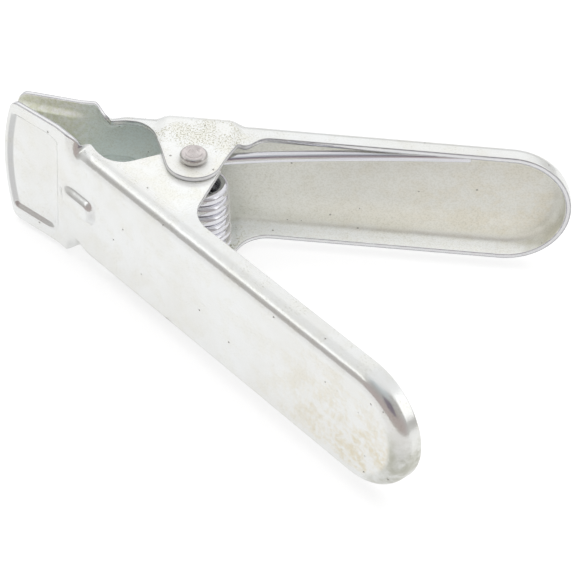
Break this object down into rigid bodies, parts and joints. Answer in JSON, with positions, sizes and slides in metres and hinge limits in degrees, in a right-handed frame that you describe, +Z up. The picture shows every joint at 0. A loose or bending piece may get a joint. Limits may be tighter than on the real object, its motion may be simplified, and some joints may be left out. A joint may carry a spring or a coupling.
{
  "type": "spring clamp",
  "caption": "Pressed-steel spring clamp: channel-shaped levers with folded jaws and grip panels turn on a peened rivet, and a torsion spring holds the jaws shut.",
  "frame": {"origin": "under the middle of the closed clamp, at the level of the lower rivet head's face", "axes": "+X from the jaws to the handles, +Y from the front lever to the rear lever, +Z up along the pivot rivet"},
  "size_m": [0.1036, 0.0798, 0.031],
  "materials": {
    "front_steel": "bright zinc plating, satin, lightly stained",
    "rear_steel": "bright zinc plating, satin, lightly stained",
    "rivet_steel": "bare steel, peened",
    "spring_steel": "bright drawn wire"
  },
  "bodies": {
    "rear_lever": {"rear_lever": "rear_steel", "pivot_rivet": "rivet_steel", "torsion_spring": "spring_steel"},
    "front_lever": {"front_lever": "front_steel"}
  },
  "joints": [
    {"name": "lever_pivot", "type": "hinge", "parent": "rear_lever", "child": "front_lever", "pos_m": [-0.01156, 0, 0.0155], "axis": [0, 0, 1], "range_deg": [0, 50], "stiffness_Nm_per_rad": 1.1, "springref_deg": -45.84, "deforming": ["torsion_spring"]}
  ]
}
